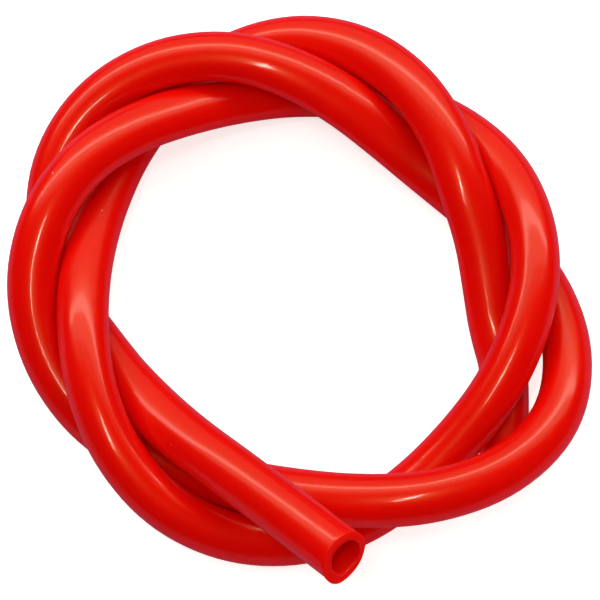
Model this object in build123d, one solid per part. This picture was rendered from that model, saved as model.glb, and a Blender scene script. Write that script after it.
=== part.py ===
from build123d import *
import math
import os

# Sizes in millimetres, angles in degrees.
# The coil lies flat on z = 0. A clock angle starts at the near side (-Y) and runs through -X, +Y and +X.

# The tube's section
BORE_D = 8.0
WALL = 2.0
TUBE_OD = BORE_D + 2 * WALL

# The ring that the turns are laid around: its mean radius, and how oval it is
COIL_RADIUS = 59.0
OVAL_SHARE = 0.081
OVAL_ANGLE = 141.0

# The lay: the turns twist around the ring's core like the strands of a rope, and the path's rounded
# corners keep the low share of the lay's depth
LAY_SHARE = 0.692
LOW_SHARE = 0.962
TWISTS_PER_TURN = 7.0 / 3.0
OUTERMOST_ANGLE = 130.5
STEP_ANGLE = 15.0
FIRST_ANGLE = 75.0

# Every arc of the path takes this share of the shorter run beside it
ARC_SHARE = 0.45

# The knife cut of the upper end leans back by this angle, so its lower lip is the longer one
CUT_ANGLE = 15.0
CUTTER_RADIUS_SHARE = 0.75

# The upper end lies across the turns below it: clock angle, then shares of the tube's diameter,
# outward from the ring and up from the floor, from the tip inwards
UPPER_END_SHARES = [
    (-8.5, 0.97, 3.00),
    (12.5, -0.37, 2.20),
    (34.0, -0.64, 1.59),
    (59.5, -0.63, 0.95),
]

# How far each step of the coil departs from the even lay, outward and upward, in tube diameters
DEPARTURE_SHARES = [
    (-0.05, 0.00), (0.00, 0.00), (0.05, 0.00), (0.16, 0.00), (0.14, 0.00), (0.07, 0.02),
    (0.02, 0.06), (0.00, 0.04), (0.09, 0.00), (0.14, 0.00), (0.08, 0.00), (-0.03, 0.00),
    (-0.05, 0.00), (0.02, 0.00), (0.16, 0.00), (0.34, 0.00), (0.34, 0.00), (0.26, 0.00),
    (0.17, 0.03), (0.14, 0.10), (0.10, 0.15), (0.04, 0.08), (0.04, 0.00), (0.06, 0.00),
    (0.04, 0.00), (0.03, 0.08), (-0.03, 0.19), (-0.04, 0.13), (-0.03, 0.05), (0.03, 0.00),
    (0.13, 0.00), (0.20, 0.00), (0.17, 0.00), (0.18, 0.00), (0.09, 0.00), (0.04, 0.05),
    (0.03, 0.07), (0.11, 0.05), (0.15, 0.07), (0.15, 0.09), (0.04, 0.05), (-0.05, 0.02),
    (-0.07, 0.00), (-0.06, 0.00), (-0.02, 0.00), (0.03, 0.00), (0.02, 0.00), (0.01, 0.00),
    (0.02, 0.00), (0.05, 0.04), (0.03, 0.07), (-0.03, 0.03), (-0.04, 0.00), (0.02, 0.00),
    (0.14, 0.00), (0.26, 0.02), (0.28, 0.02), (0.23, 0.00), (0.14, 0.00), (0.05, 0.00),
    (0.05, 0.00),
]

# The lower end runs down to the floor and out under the turns above it, in the same terms
LOWER_END_SHARES = [
    (990.0, -0.80, 1.14),
    (1001.0, -0.74, 0.78),
    (1012.0, -0.34, 0.50),
    (1033.0, 0.66, 0.50),
]


def place(clock, out, up):
    """A point at a clock angle, so far outward from the ring's core and so far above the floor."""
    core = COIL_RADIUS * (1 + OVAL_SHARE * math.cos(math.radians(2 * (clock - OVAL_ANGLE))))
    turned = math.radians(clock)
    return Vector(-(core + out) * math.sin(turned), -(core + out) * math.cos(turned), up)


def route():
    """The corners of the tube's path from the upper end to the lower one, about the middle of their box."""
    lay = LAY_SHARE * TUBE_OD
    core_height = TUBE_OD / 2 + LOW_SHARE * lay
    corners = []
    for clock, out_share, up_share in UPPER_END_SHARES:
        corners.append(place(clock, out_share * TUBE_OD, up_share * TUBE_OD))
    for step, (out_share, up_share) in enumerate(DEPARTURE_SHARES):
        clock = FIRST_ANGLE + step * STEP_ANGLE
        twist = math.radians((clock - OUTERMOST_ANGLE) * TWISTS_PER_TURN)
        out = lay * math.cos(twist) + out_share * TUBE_OD
        up = core_height + lay * math.sin(twist) + up_share * TUBE_OD
        corners.append(place(clock, out, up))
    for clock, out_share, up_share in LOWER_END_SHARES:
        corners.append(place(clock, out_share * TUBE_OD, up_share * TUBE_OD))
    middle_x = (min(p.X for p in corners) + max(p.X for p in corners)) / 2
    middle_y = (min(p.Y for p in corners) + max(p.Y for p in corners)) / 2
    return [p - Vector(middle_x, middle_y, 0) for p in corners]


def arc_radii(corners):
    """One radius for each inner corner, as large as its two runs allow."""
    radii = []
    for before, corner, after in zip(corners, corners[1:], corners[2:]):
        run_in = corner - before
        run_out = after - corner
        half_turn = math.radians(run_in.get_angle(run_out)) / 2
        radii.append(ARC_SHARE * min(run_in.length, run_out.length) / math.tan(half_turn))
    return radii


def straight_length(corners):
    """The length of an end run that stays straight, up to its first arc."""
    run = (corners[1] - corners[0]).length
    return run - ARC_SHARE * min(run, (corners[2] - corners[1]).length)


def tube_along(path):
    """The hollow tube, with its section square to the start of the path."""
    start = Plane(origin=path @ 0, z_dir=path % 0)
    section = start * (Circle(TUBE_OD / 2) - Circle(BORE_D / 2))
    return sweep(section, path=path)


corners = route()
radii = arc_radii(corners)

# the upper tip is drawn longer by half the slant of its cut, and the cutter takes the slant off
tip = corners[0]
tip_axis = (corners[0] - corners[1]).normalized()
half_slant = TUBE_OD / 2 * math.tan(math.radians(CUT_ANGLE))
drawn = [tip + tip_axis * half_slant * 2] + corners[1:]
path = FilletPolyline(*drawn, radius=radii)
tube = tube_along(path)

sideways = tip_axis.cross(Vector(0, 0, 1)).normalized()
cut_normal = tip_axis.rotate(Axis((0, 0, 0), sideways), CUT_ANGLE)
cut_plane = Plane(origin=tip, x_dir=sideways, z_dir=cut_normal)
cutter = cut_plane * Cylinder(
    TUBE_OD * CUTTER_RADIUS_SHARE,
    TUBE_OD,
    align=(Align.CENTER, Align.CENTER, Align.MIN),
)
tube = tube - cutter

# checks on what was built
bodies = tube.solids()
if len(bodies) != 1:
    raise ValueError(f"the tube came out as {len(bodies)} solids")
tubing = bodies[0]
section_area = math.pi * (TUBE_OD**2 - BORE_D**2) / 4
length = path.length - 2 * half_slant
print("least and largest arc radius", round(min(radii), 1), round(max(radii), 1))
print("centreline", round(length, 1))
print("volume", round(tubing.volume, 1), "expected", round(section_area * length, 1))
box = tubing.bounding_box()
print("box", box.min, box.max)
for name, end in (("upper", corners), ("lower", list(reversed(corners)))):
    end_axis = (end[0] - end[1]).normalized()
    print(name, "end at", end[0], "axis", end_axis, "straight", round(straight_length(end), 2))

tubing.label = "tubing"
os.makedirs("parts", exist_ok=True)
export_step(tubing, "parts/tubing.step")
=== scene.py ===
import bisect
import math

import bmesh
import bpy
from bpy.props import FloatProperty, FloatVectorProperty, PointerProperty
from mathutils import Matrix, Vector


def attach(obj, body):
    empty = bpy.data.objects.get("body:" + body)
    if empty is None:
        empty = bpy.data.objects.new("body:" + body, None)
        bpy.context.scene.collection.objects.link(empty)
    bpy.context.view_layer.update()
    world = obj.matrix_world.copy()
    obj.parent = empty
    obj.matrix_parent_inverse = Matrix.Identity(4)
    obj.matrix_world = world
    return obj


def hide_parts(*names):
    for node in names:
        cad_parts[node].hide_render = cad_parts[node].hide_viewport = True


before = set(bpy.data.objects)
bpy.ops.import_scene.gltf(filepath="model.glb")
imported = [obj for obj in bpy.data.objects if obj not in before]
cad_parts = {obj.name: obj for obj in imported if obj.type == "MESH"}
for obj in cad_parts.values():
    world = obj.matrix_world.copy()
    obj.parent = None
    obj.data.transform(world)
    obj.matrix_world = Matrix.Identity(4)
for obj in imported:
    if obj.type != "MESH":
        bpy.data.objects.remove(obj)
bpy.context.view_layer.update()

bl_info = {
    "name": "Coiled rubber tubing",
    "version": (1, 0, 0),
    "blender": (4, 5, 0),
    "location": "View3D > Sidebar > Tubing",
    "description": "Lays a length of red rubber tubing in a loose coil, on a white studio floor",
    "category": "Object",
}

MM = 0.001
FULL_TURN = 360.0
WHITE = (1.0, 1.0, 1.0, 1.0)
TUBING_NODE = "tubing"
RUBBER_SLOT = "red_rubber"

# The coil's lay, the same as the part's source has it: clock angles in degrees from the near side,
# and shares of the tube's diameter
OVAL_SHARE = 0.081
OVAL_ANGLE = 141.0
LAY_SHARE = 0.692
LOW_SHARE = 0.962
TWISTS_PER_TURN = 7.0 / 3.0
OUTERMOST_ANGLE = 130.5
STEP_ANGLE = 15.0
FIRST_ANGLE = 75.0

# The upper end lies across the turns below it: clock angle, then outward and upward shares
UPPER_END_SHARES = [
    (-8.5, 0.97, 3.00),
    (12.5, -0.37, 2.20),
    (34.0, -0.64, 1.59),
    (59.5, -0.63, 0.95),
]

# How far each step of the coil departs from the even lay, outward and upward
DEPARTURE_SHARES = [
    (-0.05, 0.00), (0.00, 0.00), (0.05, 0.00), (0.16, 0.00), (0.14, 0.00), (0.07, 0.02),
    (0.02, 0.06), (0.00, 0.04), (0.09, 0.00), (0.14, 0.00), (0.08, 0.00), (-0.03, 0.00),
    (-0.05, 0.00), (0.02, 0.00), (0.16, 0.00), (0.34, 0.00), (0.34, 0.00), (0.26, 0.00),
    (0.17, 0.03), (0.14, 0.10), (0.10, 0.15), (0.04, 0.08), (0.04, 0.00), (0.06, 0.00),
    (0.04, 0.00), (0.03, 0.08), (-0.03, 0.19), (-0.04, 0.13), (-0.03, 0.05), (0.03, 0.00),
    (0.13, 0.00), (0.20, 0.00), (0.17, 0.00), (0.18, 0.00), (0.09, 0.00), (0.04, 0.05),
    (0.03, 0.07), (0.11, 0.05), (0.15, 0.07), (0.15, 0.09), (0.04, 0.05), (-0.05, 0.02),
    (-0.07, 0.00), (-0.06, 0.00), (-0.02, 0.00), (0.03, 0.00), (0.02, 0.00), (0.01, 0.00),
    (0.02, 0.00), (0.05, 0.04), (0.03, 0.07), (-0.03, 0.03), (-0.04, 0.00), (0.02, 0.00),
    (0.14, 0.00), (0.26, 0.02), (0.28, 0.02), (0.23, 0.00), (0.14, 0.00), (0.05, 0.00),
    (0.05, 0.00),
]

# The lower end comes down to the floor a little sooner than the part's source has it, and goes out under
# the turns above it
LOWER_END_SHARES = [
    (990.0, -0.80, 0.91),
    (1001.0, -0.74, 0.62),
    (1012.0, -0.34, 0.51),
    (1032.3, 0.45, 0.50),
]

# Where the tube lies pinched between other turns: clock angle, spread in degrees, how much wider it is
# pressed, and how far outward from the ring it is pushed
SQUEEZE_SHARES = [
    (20.0, 45.0, 0.06, 0.00),
    (45.0, 24.0, 0.08, 0.05),
    (138.0, 22.0, 0.06, 0.00),
    (152.0, 22.0, 0.04, -0.03),
    (200.0, 32.0, 0.21, 0.03),
    (355.0, 32.0, 0.08, 0.00),
    (452.0, 22.0, 0.06, -0.03),
    (507.0, 28.0, 0.13, 0.01),
    (806.0, 22.0, 0.05, 0.02),
    (825.0, 28.0, 0.05, 0.00),
    (914.0, 24.0, 0.13, -0.03),
    (962.0, 27.0, 0.12, 0.06),
    (983.0, 18.0, 0.06, 0.05),
]

# How finely the smooth line and the tube's section are drawn, and the order of the line's spline
STEPS_PER_CORNER = 7
SECTION_SIDES = 72
SPLINE_ORDER = 3

# Angles on the upper end's cut face run from its top towards its left, seen from in front of it, in degrees.
# The bore lies off the middle towards the lower right
BORE_OFFSET_ANGLE = -145.0

# The torn lip of the upper end: the angle of each tear, its spread in degrees and its share of the burr
TEAR_SHARES = [
    (128.0, 38.0, 1.0),
    (178.0, 30.0, 0.5),
    (-105.0, 20.0, 0.4),
]

# The torn lip fades out over this share of the wall's thickness, inwards and back from the cut face
LIP_FADE_SHARE = 0.5

# The waves of the knife cut: how many to a turn, their start in radians, and their share of the wall
KNIFE_WAVE_SHARES = [
    (2, 0.7, 0.06),
    (3, -1.1, 0.045),
    (5, 0.0, 0.03),
]

# A ring of points is found within this share of the wall's thickness along the tube
RING_REACH_SHARE = 0.1

# The cut ends, from the wall over the rim into the bore: share of the wall's thickness in from the outside,
# then how far behind the cut face the row lies, in shares of the wall's thickness
RIM_SHARES = [
    (0.00, 0.50),
    (0.00, 0.20),
    (0.02, 0.07),
    (0.08, 0.01),
    (0.18, 0.00),
    (0.50, 0.02),
    (0.78, 0.02),
    (0.83, -0.02),
    (0.89, -0.04),
    (0.95, -0.01),
    (0.99, 0.07),
    (1.00, 0.20),
    (1.00, 0.50),
]

# The bare cut face lies between these shares of the wall's thickness, in from the outside
CUT_FACE_SHARES = (0.05, 0.80)

# The rubber's grain, in repeats to a metre, with the detail of each noise
CLOUD_SCALE = 70.0
CLOUD_DETAIL = 3.0
SPECK_SCALE = 260.0
SPECK_SPREAD_SCALE = 190.0
SPECK_SPREAD_DETAIL = 1.0
WAVE_SCALE = 420.0
WAVE_DETAIL = 2.0

# The draw lines repeat so often in a metre along the tube, and in a metre across it
LINE_STRETCH = (12.0, 900.0, 900.0)
LINE_SCALE = 1.0
LINE_DETAIL = 2.0

# The specks grow from nothing to the largest one, a share of their spacing, over this range of their noise
SPECK_NOISE_SHARES = (0.60, 0.82)
LARGEST_SPECK_SHARE = 0.12

# The draw lines change the skin's roughness between these shares of it
LINE_ROUGHNESS_SHARES = (0.9, 1.1)

# The skin's relief: its depth, how much of it shows, and the draw lines' share beside the waves
RELIEF_DEPTH = 0.2 * MM
RELIEF_SHOWN_SHARE = 0.02
LINE_RELIEF_SHARE = 0.25

# How the rubber bends light, and how far light soaks into it: in shares of the wall's thickness, and of that
# for red, green and blue
RUBBER_IOR = 1.5
SOAK_SHARE = 1.5
SOAK_COLOUR_SHARES = (1.0, 0.06, 0.04)

# The floor is a square of matt paper, its side in metres
FLOOR_SIZE = 6.0
PAPER_ROUGHNESS = 0.9
PAPER_MIRROR = 0.1

# The camera's sensor in millimetres, and the nearest that it sees
SENSOR_WIDTH = 36.0
NEAREST_SEEN = 10.0 * MM

# The lamps, in metres and watts: name, direction towards it, distance, width, height, power, seen in gloss
LAMPS = [
    ("window", (0.0, 0.629, 0.777), 0.60, 1.40, 0.07, 1.1, True),
    ("curtain", (0.0, 0.58, 0.81), 0.62, 1.40, 0.26, 0.8, True),
    ("strip", (-0.093, -0.175, 0.98), 0.60, 0.016, 0.19, 0.32, True),
    ("lamp", (-0.08, -0.17, 0.98), 0.60, 0.05, 0.05, 0.14, True),
    ("ceiling", (0.0, 0.72, 0.694), 0.80, 1.40, 1.00, 1.5, True),
    ("sky", (0.0, 0.45, 0.893), 0.80, 1.20, 1.20, 2.8, False),
    ("side", (-0.72, 0.10, 0.69), 0.60, 0.40, 0.40, 0.6, False),
    ("fill", (0.75, -0.55, 0.35), 0.60, 0.30, 0.30, 0.8, False),
]


class TubingSizes(bpy.types.PropertyGroup):
    """The tube's section, the coil's size and the rubber's colours."""

    bore: FloatProperty(
        name="Bore", description="Inside diameter of the tube", default=8.0 * MM, unit="LENGTH"
    )
    wall: FloatProperty(
        name="Wall", description="Thickness of the tube's wall", default=2.0 * MM, unit="LENGTH"
    )
    coil_radius: FloatProperty(
        name="Coil radius",
        description="Mean radius of the ring that the turns are laid around",
        default=59.0 * MM,
        unit="LENGTH",
    )
    cut_angle: FloatProperty(
        name="Cut angle",
        description="How far the knife cut of the upper end leans back",
        default=math.radians(15.0),
        subtype="ANGLE",
    )
    burr: FloatProperty(
        name="Burr",
        description="How far the torn lip of the upper end stands out from the wall",
        default=0.6 * MM,
        unit="LENGTH",
    )
    offset: FloatProperty(
        name="Bore offset",
        description="How far the bore lies off the middle at the upper end",
        default=0.50 * MM,
        unit="LENGTH",
    )
    offset_fade: FloatProperty(
        name="Offset fade",
        description="Length over which the bore comes back to the middle",
        default=14.0 * MM,
        unit="LENGTH",
    )
    rubber_red: FloatVectorProperty(
        name="Rubber red",
        description="Colour of the rubber",
        default=(0.86, 0.0022, 0.0008),
        size=3,
        subtype="COLOR",
        min=0.0,
        max=1.0,
    )
    deep_red: FloatVectorProperty(
        name="Deep red",
        description="Colour of the darker clouds in the rubber",
        default=(0.81, 0.0010, 0.0006),
        size=3,
        subtype="COLOR",
        min=0.0,
        max=1.0,
    )
    dust: FloatVectorProperty(
        name="Dust",
        description="Colour of the lint and dust that clings to the rubber",
        default=(0.80, 0.42, 0.38),
        size=3,
        subtype="COLOR",
        min=0.0,
        max=1.0,
    )
    roughness: FloatProperty(
        name="Roughness", description="How dull the moulded skin is", default=0.34, min=0.0, max=1.0
    )
    cut_roughness: FloatProperty(
        name="Cut roughness", description="How dull the cut faces are", default=0.55, min=0.0, max=1.0
    )
    sheen: FloatVectorProperty(
        name="Sheen",
        description="Colour of the skin's broad soft shine",
        default=(1.0, 0.80, 0.25),
        size=3,
        subtype="COLOR",
        min=0.0,
        max=1.0,
    )
    mirror: FloatProperty(
        name="Mirror",
        description="How strongly the skin mirrors its surroundings",
        default=0.42,
        min=0.0,
        max=1.0,
    )
    glow: FloatProperty(
        name="Glow", description="How much light soaks through the rubber", default=1.0, min=0.0, max=1.0
    )
    film: FloatProperty(
        name="Film", description="Weight of the thin glossy film on the skin", default=0.62, min=0.0, max=1.0
    )
    film_roughness: FloatProperty(
        name="Film roughness", description="How dull the glossy film is", default=0.10, min=0.0, max=1.0
    )


class StageSizes(bpy.types.PropertyGroup):
    """The camera's place and the studio's colours."""

    elevation: FloatProperty(
        name="Elevation",
        description="How far above the horizon the camera stands",
        default=math.radians(70.0),
        subtype="ANGLE",
    )
    distance: FloatProperty(
        name="Distance", description="From the camera to the coil", default=421.43 * MM, unit="LENGTH"
    )
    middle: FloatVectorProperty(
        name="Middle",
        description="The point of the coil that the camera's distance is measured from",
        default=(-1.215 * MM, 0.382 * MM, 13.0 * MM),
        size=3,
        subtype="TRANSLATION",
    )
    aim: FloatVectorProperty(
        name="Aim",
        description="The point that the camera looks at",
        default=(0.365 * MM, -2.070 * MM, 12.108 * MM),
        size=3,
        subtype="TRANSLATION",
    )
    lens: FloatProperty(name="Lens", description="Focal length in millimetres", default=100.8)
    floor_white: FloatVectorProperty(
        name="Floor white",
        description="Colour of the floor",
        default=(0.86, 0.86, 0.86),
        size=3,
        subtype="COLOR",
        min=0.0,
        max=1.0,
    )
    floor_in_gloss: FloatVectorProperty(
        name="Floor in gloss",
        description="Colour of the floor where the rubber mirrors it",
        default=(0.32, 0.14, 0.26),
        size=3,
        subtype="COLOR",
        min=0.0,
        max=1.0,
    )
    floor_lift: FloatProperty(
        name="Floor lift",
        description="Light that the floor adds for the camera",
        default=0.70,
        min=0.0,
        max=1.0,
    )
    lamp_colour: FloatVectorProperty(
        name="Lamp colour",
        description="Colour of the lamps",
        default=(1.0, 0.97, 0.84),
        size=3,
        subtype="COLOR",
        min=0.0,
        max=1.0,
    )
    room_light: FloatProperty(
        name="Room light", description="Strength of the light from all round", default=0.19, min=0.0, max=1.0
    )
    room_in_gloss: FloatProperty(
        name="Room in gloss",
        description="Strength of the room's light where the rubber mirrors it",
        default=0.012,
        min=0.0,
        max=1.0,
    )


def place(sizes, clock, out, up):
    """A point at a clock angle, so far outward from the ring's core and so far above the floor."""
    core = sizes.coil_radius * (1 + OVAL_SHARE * math.cos(math.radians(2 * (clock - OVAL_ANGLE))))
    turned = math.radians(clock)
    return Vector((-(core + out) * math.sin(turned), -(core + out) * math.cos(turned), up))


def route(sizes):
    """The corners of the tube's path from the upper end to the lower one, about the middle of their box."""
    diameter = sizes.bore + 2 * sizes.wall
    lay = LAY_SHARE * diameter
    core_height = diameter / 2 + LOW_SHARE * lay
    corners = []
    for clock, out_share, up_share in UPPER_END_SHARES:
        corners.append(place(sizes, clock, out_share * diameter, up_share * diameter))
    for step, (out_share, up_share) in enumerate(DEPARTURE_SHARES):
        clock = FIRST_ANGLE + step * STEP_ANGLE
        twist = math.radians((clock - OUTERMOST_ANGLE) * TWISTS_PER_TURN)
        out = lay * math.cos(twist) + out_share * diameter
        up = core_height + lay * math.sin(twist) + up_share * diameter
        corners.append(place(sizes, clock, out, up))
    for clock, out_share, up_share in LOWER_END_SHARES:
        corners.append(place(sizes, clock, out_share * diameter, up_share * diameter))
    middle_x = (min(p.x for p in corners) + max(p.x for p in corners)) / 2
    middle_y = (min(p.y for p in corners) + max(p.y for p in corners)) / 2
    return [p - Vector((middle_x, middle_y, 0)) for p in corners]


def smooth_line(corners):
    """The smooth line of the tube, a mesh of points and edges, with the corners as its spline's controls."""
    line = bpy.data.curves.new("tubing_line", "CURVE")
    line.dimensions = "3D"
    line.resolution_u = STEPS_PER_CORNER
    spline = line.splines.new("NURBS")
    spline.points.add(len(corners) - 1)
    for point, corner in zip(spline.points, corners):
        point.co = (*corner, 1.0)
    spline.order_u = SPLINE_ORDER
    spline.use_endpoint_u = True
    carrier = bpy.data.objects.new("tubing_line", line)
    mesh = bpy.data.meshes.new_from_object(carrier)
    bpy.data.objects.remove(carrier)
    bpy.data.curves.remove(line)
    return mesh


def tube_walls():
    """Nodes that sweep the outside and the bore along the line.

    Each point keeps where it would lie on the tube pulled straight: along it, and in its section.
    """
    tree = bpy.data.node_groups.new("tube_walls", "GeometryNodeTree")
    sockets = tree.interface
    sockets.new_socket("Line", in_out="INPUT", socket_type="NodeSocketGeometry")
    sockets.new_socket("Outside Radius", in_out="INPUT", socket_type="NodeSocketFloat")
    sockets.new_socket("Bore Radius", in_out="INPUT", socket_type="NodeSocketFloat")
    sockets.new_socket("Sides", in_out="INPUT", socket_type="NodeSocketInt")
    sockets.new_socket("Rubber", in_out="INPUT", socket_type="NodeSocketMaterial")
    sockets.new_socket("Tube", in_out="OUTPUT", socket_type="NodeSocketGeometry")
    nodes, link = tree.nodes, tree.links.new
    given = nodes.new("NodeGroupInput")
    made = nodes.new("NodeGroupOutput")
    to_curve = nodes.new("GeometryNodeMeshToCurve")
    along = nodes.new("GeometryNodeSplineParameter")
    keep_along = nodes.new("GeometryNodeCaptureAttribute")
    keep_along.capture_items.new("FLOAT", "Along")
    link(given.outputs["Line"], to_curve.inputs["Mesh"])
    link(to_curve.outputs["Curve"], keep_along.inputs["Geometry"])
    link(along.outputs["Length"], keep_along.inputs["Along"])
    joined = nodes.new("GeometryNodeJoinGeometry")
    for radius in ("Outside Radius", "Bore Radius"):
        circle = nodes.new("GeometryNodeCurvePrimitiveCircle")
        spot = nodes.new("GeometryNodeInputPosition")
        keep_spot = nodes.new("GeometryNodeCaptureAttribute")
        keep_spot.capture_items.new("VECTOR", "Spot")
        sweep = nodes.new("GeometryNodeCurveToMesh")
        parts = nodes.new("ShaderNodeSeparateXYZ")
        straight = nodes.new("ShaderNodeCombineXYZ")
        store = nodes.new("GeometryNodeStoreNamedAttribute")
        store.data_type = "FLOAT_VECTOR"
        store.domain = "POINT"
        store.inputs["Name"].default_value = "straight"
        link(given.outputs["Sides"], circle.inputs["Resolution"])
        link(given.outputs[radius], circle.inputs["Radius"])
        link(circle.outputs["Curve"], keep_spot.inputs["Geometry"])
        link(spot.outputs["Position"], keep_spot.inputs["Spot"])
        link(keep_along.outputs["Geometry"], sweep.inputs["Curve"])
        link(keep_spot.outputs["Geometry"], sweep.inputs["Profile Curve"])
        link(keep_spot.outputs["Spot"], parts.inputs["Vector"])
        link(keep_along.outputs["Along"], straight.inputs["X"])
        link(parts.outputs["X"], straight.inputs["Y"])
        link(parts.outputs["Y"], straight.inputs["Z"])
        link(sweep.outputs["Mesh"], store.inputs["Geometry"])
        link(straight.outputs["Vector"], store.inputs["Value"])
        link(store.outputs["Geometry"], joined.inputs["Geometry"])
    real = nodes.new("GeometryNodeRealizeInstances")
    skin = nodes.new("GeometryNodeSetMaterial")
    link(joined.outputs["Geometry"], real.inputs["Geometry"])
    link(real.outputs["Geometry"], skin.inputs["Geometry"])
    link(given.outputs["Rubber"], skin.inputs["Material"])
    link(skin.outputs["Geometry"], made.inputs["Tube"])
    return tree


def swept_walls(piece, sizes, rubber):
    """Gives the piece, so far only a line, the two walls of the tube as a plain mesh."""
    walls = piece.modifiers.new("walls", "NODES")
    walls.node_group = tube_walls()
    values = {
        "Outside Radius": sizes.bore / 2 + sizes.wall,
        "Bore Radius": sizes.bore / 2,
        "Sides": SECTION_SIDES,
        "Rubber": rubber,
    }
    for socket in walls.node_group.interface.items_tree:
        if socket.in_out == "INPUT" and socket.name in values:
            walls[socket.identifier] = values[socket.name]
    swept = piece.evaluated_get(bpy.context.evaluated_depsgraph_get())
    line = piece.data
    mesh = bpy.data.meshes.new_from_object(swept)
    piece.modifiers.remove(walls)
    piece.data = mesh
    bpy.data.meshes.remove(line)


def squeeze(piece, sizes, points):
    """Presses the tube wider, thinner to match and sideways, where it lies pinched between other turns."""
    mesh = piece.data
    diameter = sizes.bore + 2 * sizes.wall
    along = [0.0]
    for before, after in zip(points, points[1:]):
        along.append(along[-1] + (after - before).length)
    clocks = []
    for point in points:
        clock = math.degrees(math.atan2(-point.x, -point.y))
        if clocks:
            clock += FULL_TURN * round((clocks[-1] - clock) / FULL_TURN)
        clocks.append(clock)
    straight = mesh.attributes["straight"].data
    for vert in mesh.vertices:
        at = straight[vert.index].vector.x
        ring = min(bisect.bisect_left(along, at - along[1] / 2), len(points) - 1)
        press = 0.0
        push = 0.0
        for middle, spread, press_share, push_share in SQUEEZE_SHARES:
            near = math.exp(-(((clocks[ring] - middle) / spread) ** 2))
            press += near * press_share
            push += near * push_share * diameter
        tangent = points[min(ring + 1, len(points) - 1)] - points[max(ring - 1, 0)]
        sideways = tangent.cross(Vector((0, 0, 1))).normalized()
        upright = sideways.cross(tangent).normalized()
        spot = vert.co - points[ring]
        wider = sideways * spot.dot(sideways) * press
        thinner = upright * spot.dot(upright) * (1 / (1 + press) - 1)
        vert.co += wider + thinner - sideways * push


def section_angle(spot):
    """The angle of a point in the straight tube's section."""
    return math.atan2(spot.z, spot.y)


def end_rings(bm, straight, sizes, at):
    """The outer ring and the bore's ring at a length along the tube, each in order round the section."""
    middle = sizes.bore / 2 + sizes.wall / 2
    near = [v for v in bm.verts if abs(v[straight].x - at) < sizes.wall * RING_REACH_SHARE]
    rings = []
    for outside in (True, False):
        ring = [v for v in near if (math.hypot(v[straight].y, v[straight].z) > middle) == outside]
        rings.append(sorted(ring, key=lambda v: section_angle(v[straight])))
    return rings


def knife_lift(sizes, spot, up, angle):
    """How far the cut face stands out along the tube at a spot of its section, for a leaning, uneven cut."""
    lean = -spot.dot(up) * math.tan(sizes.cut_angle)
    wave_share = 0.0
    for count, start, height_share in KNIFE_WAVE_SHARES:
        wave_share += height_share * math.cos(count * angle + start)
    return lean + wave_share * sizes.wall


def lip_flare(sizes, ray, up, sideways):
    """How far the torn lip stands out from the wall, in the direction of a ray from the tube's middle."""
    turned = math.degrees(math.atan2(ray.dot(sideways), ray.dot(up)))
    flare_share = 0.0
    for middle, spread, tear_share in TEAR_SHARES:
        away = (turned - middle + FULL_TURN / 2) % FULL_TURN - FULL_TURN / 2
        flare_share += tear_share * math.exp(-((away / spread) ** 2))
    return flare_share * sizes.burr


def finish_end(bm, straight, cut, sizes, centre, axis, off, at, sign, torn):
    """Closes one end of the tube with a cut face: rounded edges, and a torn lip where the cut is rough."""
    outer, bore = end_rings(bm, straight, sizes, at)
    outside = sizes.bore / 2 + sizes.wall
    sideways = axis.cross(Vector((0, 0, 1))).normalized()
    up = sideways.cross(axis)
    skin = outer[0].link_faces[0].material_index
    spots = [rim.co - centre for rim in outer]
    rows = []
    for depth_share, back_share in RIM_SHARES:
        row = []
        for rim, inner, spot in zip(outer, bore, spots):
            angle = section_angle(rim[straight])
            ray = spot.normalized()
            radius = spot.length * (1 - depth_share * sizes.wall / outside)
            lift = -back_share * sizes.wall
            flare = 0.0
            if torn:
                lift += knife_lift(sizes, ray * radius, up, angle)
                flare = lip_flare(sizes, ray, up, sideways) * max(0.0, 1 - depth_share / LIP_FADE_SHARE)
                flare *= max(0.0, 1 - back_share / LIP_FADE_SHARE)
            place_at = centre + ray * (radius + flare) + axis * lift + off * depth_share
            if depth_share == 0.0 and back_share == RIM_SHARES[0][1]:
                rim.co = place_at
                vert = rim
            elif depth_share == 1.0 and back_share == RIM_SHARES[-1][1]:
                inner.co = place_at
                vert = inner
            else:
                vert = bm.verts.new(place_at)
                unit = Vector((rim[straight].y, rim[straight].z)).normalized()
                vert[straight] = Vector((at + sign * lift, unit.x * radius, unit.y * radius))
                vert[cut] = 1.0 if CUT_FACE_SHARES[0] < depth_share < CUT_FACE_SHARES[1] else 0.0
            row.append(vert)
        rows.append(row)
    for near, far in zip(rows, rows[1:]):
        for i in range(len(near)):
            j = (i + 1) % len(near)
            face = bm.faces.new((near[i], near[j], far[j], far[i]))
            face.material_index = skin


def bore_offset(sizes, axis):
    """Which way, and how far, the bore lies off the middle at the upper end."""
    sideways = axis.cross(Vector((0, 0, 1))).normalized()
    up = sideways.cross(axis)
    turned = math.radians(BORE_OFFSET_ANGLE)
    return (up * math.cos(turned) + sideways * math.sin(turned)) * sizes.offset


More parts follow.
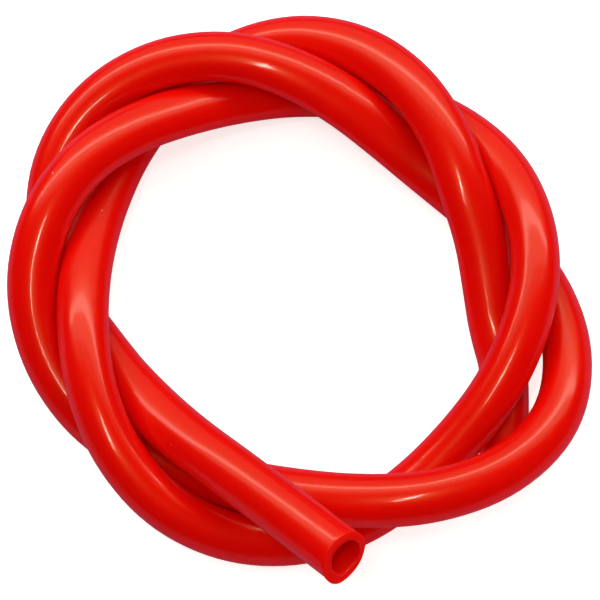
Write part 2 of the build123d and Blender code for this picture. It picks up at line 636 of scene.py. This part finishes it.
def finish_ends(piece, sizes, points):
    """Closes both ends of the tube and turns every face outwards."""
    mesh = piece.data
    bm = bmesh.new()
    bm.from_mesh(mesh)
    straight = bm.verts.layers.float_vector["straight"]
    cut = bm.verts.layers.float.new("cut")
    length = max(v[straight].x for v in bm.verts)
    upper_axis = (points[0] - points[1]).normalized()
    lower_axis = (points[-1] - points[-2]).normalized()
    off = bore_offset(sizes, upper_axis)
    middle = sizes.bore / 2 + sizes.wall / 2
    for vert in bm.verts:
        spot = vert[straight]
        if spot.x < sizes.offset_fade and math.hypot(spot.y, spot.z) < middle:
            vert.co += off * (1 - spot.x / sizes.offset_fade) ** 2
    finish_end(bm, straight, cut, sizes, points[0], upper_axis, off, 0.0, -1.0, True)
    finish_end(bm, straight, cut, sizes, points[-1], lower_axis, Vector(), length, 1.0, False)
    bmesh.ops.recalc_face_normals(bm, faces=bm.faces)
    for face in bm.faces:
        face.smooth = True
    if any(len(edge.link_faces) != 2 for edge in bm.edges):
        raise ValueError("the tube's skin is open")
    bm.to_mesh(mesh)
    bm.free()


def red_rubber(sizes):
    """Smooth moulded rubber: faint clouds and draw lines along the tube, a duller cut face, a little dust."""
    material = bpy.data.materials.new(RUBBER_SLOT)
    material.use_nodes = True
    nodes, link = material.node_tree.nodes, material.node_tree.links.new
    skin = nodes["Principled BSDF"]
    straight = nodes.new("ShaderNodeAttribute")
    straight.attribute_name = "straight"
    cut = nodes.new("ShaderNodeAttribute")
    cut.attribute_name = "cut"

    clouds = nodes.new("ShaderNodeTexNoise")
    clouds.inputs["Scale"].default_value = CLOUD_SCALE
    clouds.inputs["Detail"].default_value = CLOUD_DETAIL
    colours = nodes.new("ShaderNodeMix")
    colours.data_type = "RGBA"
    colours.inputs["A"].default_value = (*sizes.rubber_red, 1.0)
    colours.inputs["B"].default_value = (*sizes.deep_red, 1.0)
    link(straight.outputs["Vector"], clouds.inputs["Vector"])
    link(clouds.outputs["Fac"], colours.inputs["Factor"])

    # dust and lint: few small pale specks
    specks = nodes.new("ShaderNodeTexVoronoi")
    specks.inputs["Scale"].default_value = SPECK_SCALE
    few = nodes.new("ShaderNodeTexNoise")
    few.inputs["Scale"].default_value = SPECK_SPREAD_SCALE
    few.inputs["Detail"].default_value = SPECK_SPREAD_DETAIL
    speck_size = nodes.new("ShaderNodeMapRange")
    speck_size.inputs["From Min"].default_value = SPECK_NOISE_SHARES[0]
    speck_size.inputs["From Max"].default_value = SPECK_NOISE_SHARES[1]
    speck_size.inputs["To Min"].default_value = 0.0
    speck_size.inputs["To Max"].default_value = LARGEST_SPECK_SHARE
    inside = nodes.new("ShaderNodeMath")
    inside.operation = "LESS_THAN"
    dusted = nodes.new("ShaderNodeMix")
    dusted.data_type = "RGBA"
    dusted.inputs["B"].default_value = (*sizes.dust, 1.0)
    link(straight.outputs["Vector"], specks.inputs["Vector"])
    link(straight.outputs["Vector"], few.inputs["Vector"])
    link(few.outputs["Fac"], speck_size.inputs["Value"])
    link(specks.outputs["Distance"], inside.inputs[0])
    link(speck_size.outputs["Result"], inside.inputs[1])
    link(inside.outputs["Value"], dusted.inputs["Factor"])
    link(colours.outputs["Result"], dusted.inputs["A"])
    link(dusted.outputs["Result"], skin.inputs["Base Color"])

    # draw lines: long faint streaks along the tube
    stretch = nodes.new("ShaderNodeMapping")
    stretch.inputs["Scale"].default_value = LINE_STRETCH
    lines = nodes.new("ShaderNodeTexNoise")
    lines.inputs["Scale"].default_value = LINE_SCALE
    lines.inputs["Detail"].default_value = LINE_DETAIL
    link(straight.outputs["Vector"], stretch.inputs["Vector"])
    link(stretch.outputs["Vector"], lines.inputs["Vector"])
    dulled = nodes.new("ShaderNodeMapRange")
    dulled.inputs["To Min"].default_value = sizes.roughness * LINE_ROUGHNESS_SHARES[0]
    dulled.inputs["To Max"].default_value = sizes.roughness * LINE_ROUGHNESS_SHARES[1]
    rough = nodes.new("ShaderNodeMix")
    rough.inputs["B"].default_value = sizes.cut_roughness
    link(lines.outputs["Fac"], dulled.inputs["Value"])
    link(dulled.outputs["Result"], rough.inputs["A"])
    link(cut.outputs["Fac"], rough.inputs["Factor"])
    link(rough.outputs["Result"], skin.inputs["Roughness"])

    # the skin's faint waviness
    waves = nodes.new("ShaderNodeTexNoise")
    waves.inputs["Scale"].default_value = WAVE_SCALE
    waves.inputs["Detail"].default_value = WAVE_DETAIL
    both = nodes.new("ShaderNodeMath")
    both.operation = "MULTIPLY_ADD"
    both.inputs[1].default_value = LINE_RELIEF_SHARE
    relief = nodes.new("ShaderNodeBump")
    relief.inputs["Strength"].default_value = RELIEF_SHOWN_SHARE
    relief.inputs["Distance"].default_value = RELIEF_DEPTH
    link(straight.outputs["Vector"], waves.inputs["Vector"])
    link(lines.outputs["Fac"], both.inputs[0])
    link(waves.outputs["Fac"], both.inputs[2])
    link(both.outputs["Value"], relief.inputs["Height"])
    link(relief.outputs["Normal"], skin.inputs["Normal"])

    # the shine, and the light that soaks in
    skin.inputs["IOR"].default_value = RUBBER_IOR
    skin.inputs["Specular IOR Level"].default_value = sizes.mirror
    skin.inputs["Specular Tint"].default_value = (*sizes.sheen, 1.0)
    skin.inputs["Subsurface Weight"].default_value = sizes.glow
    skin.inputs["Subsurface Radius"].default_value = SOAK_COLOUR_SHARES
    skin.inputs["Subsurface Scale"].default_value = sizes.wall * SOAK_SHARE

    # the glossy film, which the cut faces lack
    bare = nodes.new("ShaderNodeMath")
    bare.operation = "MULTIPLY_ADD"
    bare.inputs[1].default_value = -sizes.film
    bare.inputs[2].default_value = sizes.film
    link(cut.outputs["Fac"], bare.inputs[0])
    link(bare.outputs["Value"], skin.inputs["Coat Weight"])
    skin.inputs["Coat Roughness"].default_value = sizes.film_roughness
    return material


class LayTubing(bpy.types.Operator):
    """Lay the rubber tubing in its coil."""

    bl_idname = "tubing.lay"
    bl_label = "Lay the tubing"

    def execute(self, context):
        sizes = context.scene.tubing_sizes
        line = smooth_line(route(sizes))
        points = [v.co.copy() for v in line.vertices]
        piece = bpy.data.objects.new("vacuum_tubing", line)
        context.scene.collection.objects.link(piece)
        swept_walls(piece, sizes, red_rubber(sizes))
        squeeze(piece, sizes, points)
        finish_ends(piece, sizes, points)
        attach(piece, "root")
        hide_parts(TUBING_NODE)
        return {"FINISHED"}


def add_lamp(context, name, towards, distance, width, height, watts, in_gloss):
    """A soft rectangular lamp that faces the coil."""
    lamp = bpy.data.lights.new(name, "AREA")
    lamp.shape = "RECTANGLE"
    lamp.size = width
    lamp.size_y = height
    lamp.energy = watts
    lamp.color = context.scene.stage_sizes.lamp_colour
    holder = bpy.data.objects.new(name, lamp)
    direction = Vector(towards).normalized()
    holder.location = Vector(context.scene.stage_sizes.middle) + direction * distance
    holder.rotation_mode = "QUATERNION"
    holder.rotation_quaternion = (-direction).to_track_quat("-Z", "Y")
    holder.visible_camera = False
    holder.visible_glossy = in_gloss
    context.scene.collection.objects.link(holder)


def floor_material(stage):
    """White paper under the coil: lifted for the camera, darker and tinted where the rubber mirrors it."""
    material = bpy.data.materials.new("studio_floor")
    material.use_nodes = True
    nodes, link = material.node_tree.nodes, material.node_tree.links.new
    paper = nodes["Principled BSDF"]
    paper.inputs["Roughness"].default_value = PAPER_ROUGHNESS
    paper.inputs["Specular IOR Level"].default_value = PAPER_MIRROR
    paper.inputs["Emission Color"].default_value = WHITE
    path = nodes.new("ShaderNodeLightPath")
    tone = nodes.new("ShaderNodeMix")
    tone.data_type = "RGBA"
    tone.inputs["A"].default_value = (*stage.floor_white, 1.0)
    tone.inputs["B"].default_value = (*stage.floor_in_gloss, 1.0)
    lifted = nodes.new("ShaderNodeMath")
    lifted.operation = "MULTIPLY"
    lifted.inputs[1].default_value = stage.floor_lift
    link(path.outputs["Is Glossy Ray"], tone.inputs["Factor"])
    link(tone.outputs["Result"], paper.inputs["Base Color"])
    link(path.outputs["Is Camera Ray"], lifted.inputs[0])
    link(lifted.outputs["Value"], paper.inputs["Emission Strength"])
    return material


class SetStage(bpy.types.Operator):
    """Set the white floor, the lamps and the camera."""

    bl_idname = "tubing.set_stage"
    bl_label = "Set the stage"

    def execute(self, context):
        stage = context.scene.stage_sizes
        scene = context.scene
        half = FLOOR_SIZE / 2
        mesh = bpy.data.meshes.new("studio_floor")
        ground = [(-half, -half, 0.0), (half, -half, 0.0), (half, half, 0.0), (-half, half, 0.0)]
        mesh.from_pydata(ground, [], [(0, 1, 2, 3)])
        mesh.materials.append(floor_material(stage))
        floor = bpy.data.objects.new("studio_floor", mesh)
        scene.collection.objects.link(floor)

        world = bpy.data.worlds.new("studio")
        scene.world = world
        world.use_nodes = True
        nodes, link = world.node_tree.nodes, world.node_tree.links.new
        background = nodes["Background"]
        background.inputs["Color"].default_value = WHITE
        path = nodes.new("ShaderNodeLightPath")
        level = nodes.new("ShaderNodeMix")
        level.inputs["A"].default_value = stage.room_light
        level.inputs["B"].default_value = stage.room_in_gloss
        link(path.outputs["Is Glossy Ray"], level.inputs["Factor"])
        link(level.outputs["Result"], background.inputs["Strength"])

        for lamp in LAMPS:
            add_lamp(context, *lamp)

        camera = bpy.data.cameras.new("camera")
        camera.lens = stage.lens
        camera.sensor_width = SENSOR_WIDTH
        camera.clip_start = NEAREST_SEEN
        holder = bpy.data.objects.new("camera", camera)
        back = Vector((0.0, -math.cos(stage.elevation), math.sin(stage.elevation)))
        holder.location = Vector(stage.middle) + back * stage.distance
        holder.rotation_mode = "QUATERNION"
        holder.rotation_quaternion = (Vector(stage.aim) - holder.location).to_track_quat("-Z", "Y")
        scene.collection.objects.link(holder)
        scene.camera = holder
        scene.view_settings.view_transform = "Standard"
        return {"FINISHED"}


class TubingPanel(bpy.types.Panel):
    """Lists the tubing's sizes and the steps that make it."""

    bl_idname = "VIEW3D_PT_tubing"
    bl_label = "Rubber tubing"
    bl_space_type = "VIEW_3D"
    bl_region_type = "UI"
    bl_category = "Tubing"

    def draw(self, context):
        layout = self.layout
        for group in (context.scene.tubing_sizes, context.scene.stage_sizes):
            for name in group.__annotations__:
                layout.prop(group, name)
        layout.operator(LayTubing.bl_idname)
        layout.operator(SetStage.bl_idname)


CLASSES = (TubingSizes, StageSizes, LayTubing, SetStage, TubingPanel)


def register():
    for cls in CLASSES:
        bpy.utils.register_class(cls)
    bpy.types.Scene.tubing_sizes = PointerProperty(type=TubingSizes)
    bpy.types.Scene.stage_sizes = PointerProperty(type=StageSizes)


def unregister():
    del bpy.types.Scene.stage_sizes
    del bpy.types.Scene.tubing_sizes
    for cls in reversed(CLASSES):
        bpy.utils.unregister_class(cls)


def main():
    register()
    bpy.ops.tubing.lay()
    bpy.ops.tubing.set_stage()


if __name__ == "__main__":
    main()
